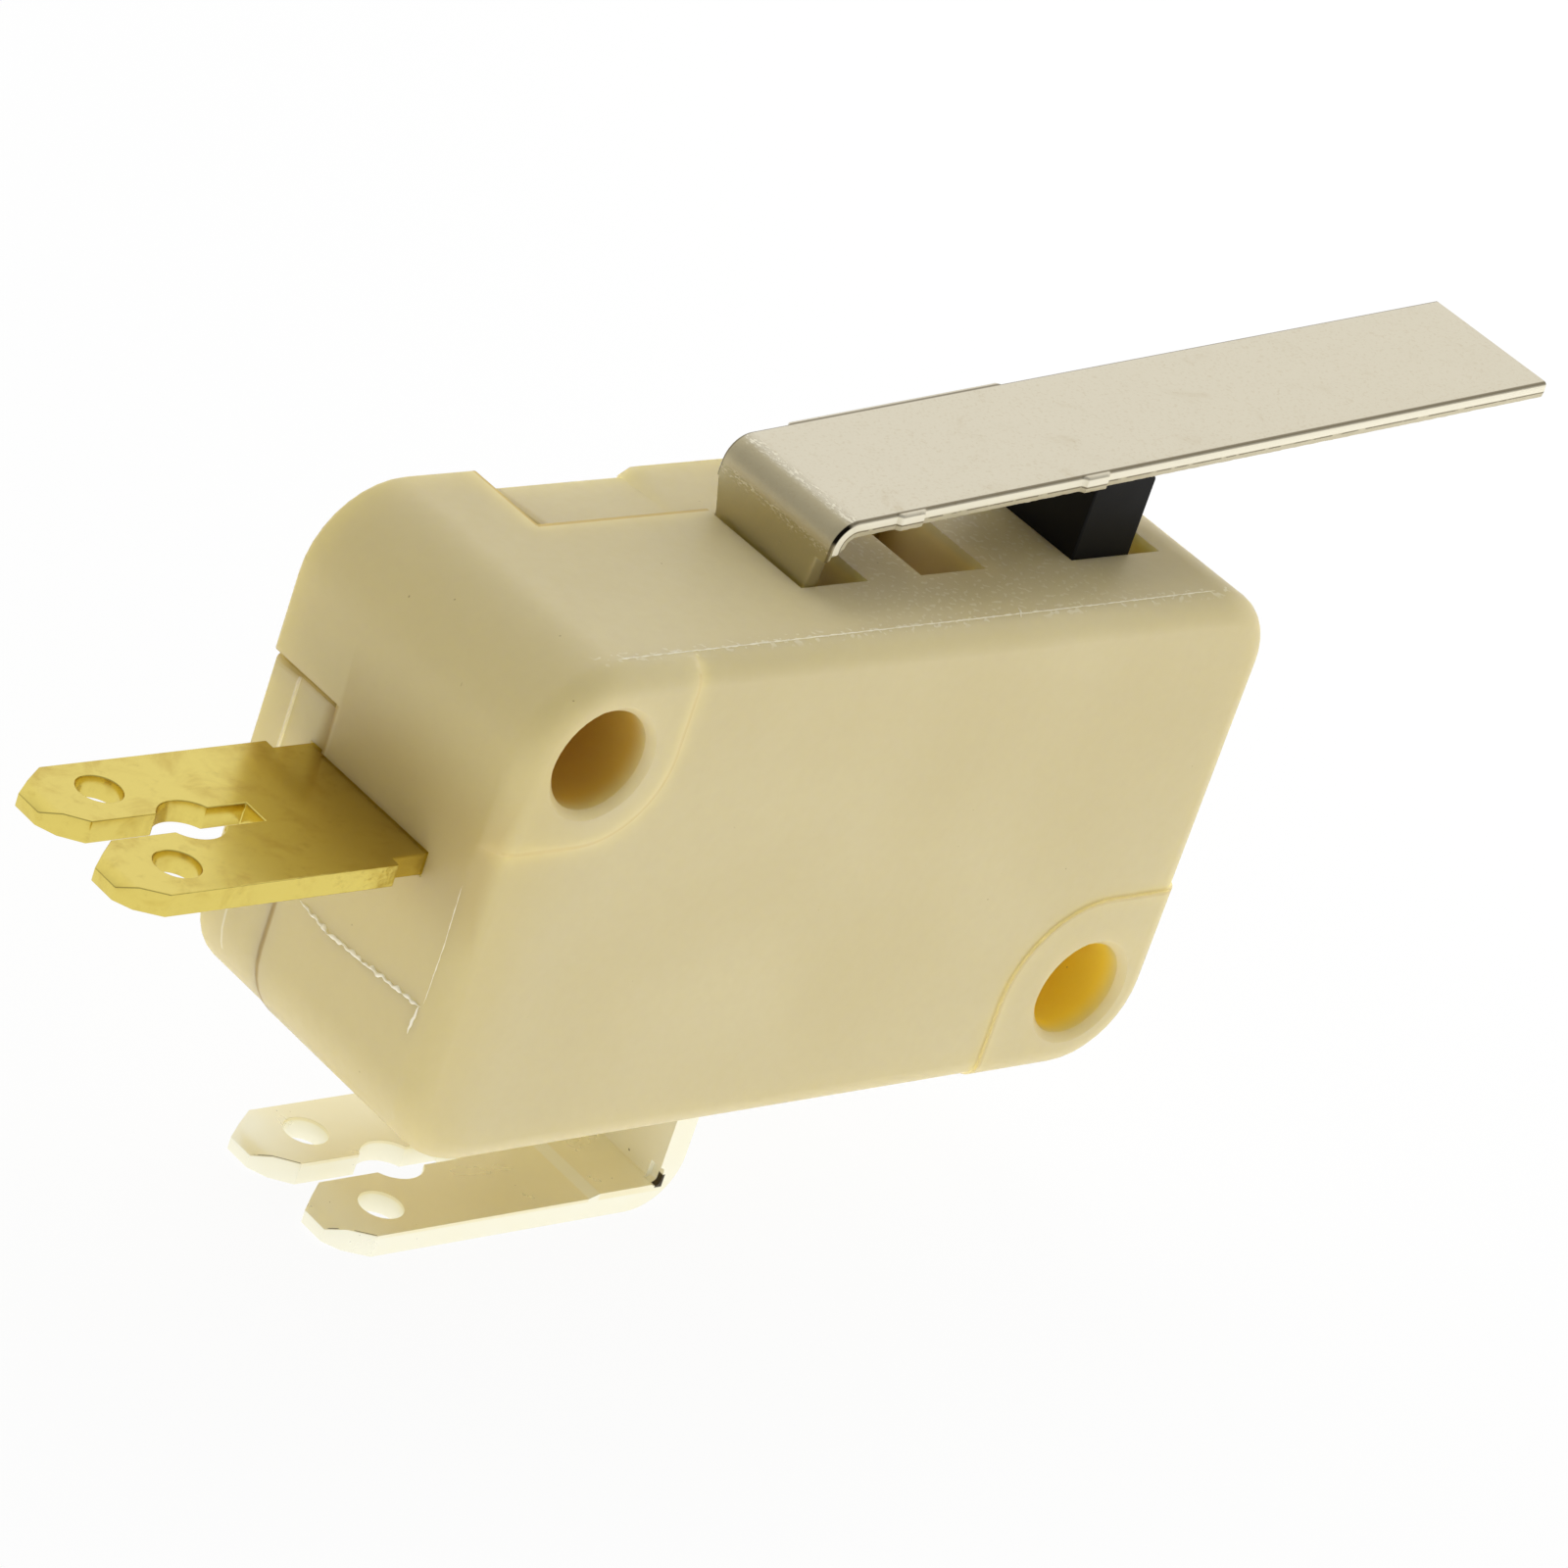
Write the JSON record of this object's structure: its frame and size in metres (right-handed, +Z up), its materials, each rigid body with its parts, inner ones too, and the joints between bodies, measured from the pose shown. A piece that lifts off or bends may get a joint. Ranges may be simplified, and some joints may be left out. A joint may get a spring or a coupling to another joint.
{
  "type": "micro switch",
  "caption": "Snap-action micro switch: a long bent hinge lever presses a plunger in a moulded case with through mounting holes and forked tab terminals.",
  "frame": {"origin": "on the axis of the lower mounting hole, half way through the case", "axes": "+X along the case towards the lever's tip, -Y out of the front face, +Z up towards the lever"},
  "size_m": [0.0489, 0.0104, 0.025],
  "materials": {
    "case_plastic": "cream moulded thermoplastic, satin, slightly translucent",
    "plunger_plastic": "black moulded thermoplastic, satin",
    "lever_steel": "satin nickel plate on steel strip",
    "brass": "bare stamped brass",
    "tinned_brass": "pale tin plate on stamped brass",
    "contact_silver": "silver contact rivet",
    "copper_alloy": "bare copper alloy strip",
    "spring_steel": "plain spring steel"
  },
  "bodies": {
    "case": {"housing": "case_plastic", "cover": "case_plastic", "end_terminal": "brass", "fixed_contact": "contact_silver", "common_terminal": "tinned_brass", "coil_spring": "spring_steel"},
    "lever": {"lever": "lever_steel"},
    "plunger": {"plunger": "plunger_plastic"},
    "trip": {"trip_lever": "spring_steel"},
    "arm": {"contact_arm": "copper_alloy", "moving_contact": "contact_silver"}
  },
  "joints": [
    {"name": "lever_hinge", "type": "hinge", "parent": "case", "child": "lever", "pos_m": [-0.0137, 0, 0.0107], "axis": [0, 1, 0], "range_deg": [0, 9], "stiffness_Nm_per_rad": 0.06, "springref_deg": -8.59},
    {"name": "plunger_slide", "type": "slide", "parent": "case", "child": "plunger", "axis": [0, 0, -1], "range_m": [0, 0.00183]},
    {"name": "trip_hinge", "type": "hinge", "parent": "case", "child": "trip", "pos_m": [0.00075, 0, 0.00477], "axis": [0, -1, 0], "range_deg": [0, 35], "deforming": ["coil_spring"]},
    {"name": "arm_hinge", "type": "hinge", "parent": "case", "child": "arm", "pos_m": [-0.01215, 0, 0.00427], "axis": [0, -1, 0], "range_deg": [0, 5]}
  ],
  "couplings": [
    {"joint": "plunger_slide", "follows": "lever_hinge", "m_per_rad": 0.011587},
    {"joint": "trip_hinge", "follows": "lever_hinge", "ratio": 3.88},
    {"joint": "arm_hinge", "follows": "lever_hinge", "ratio": 0.55}
  ]
}
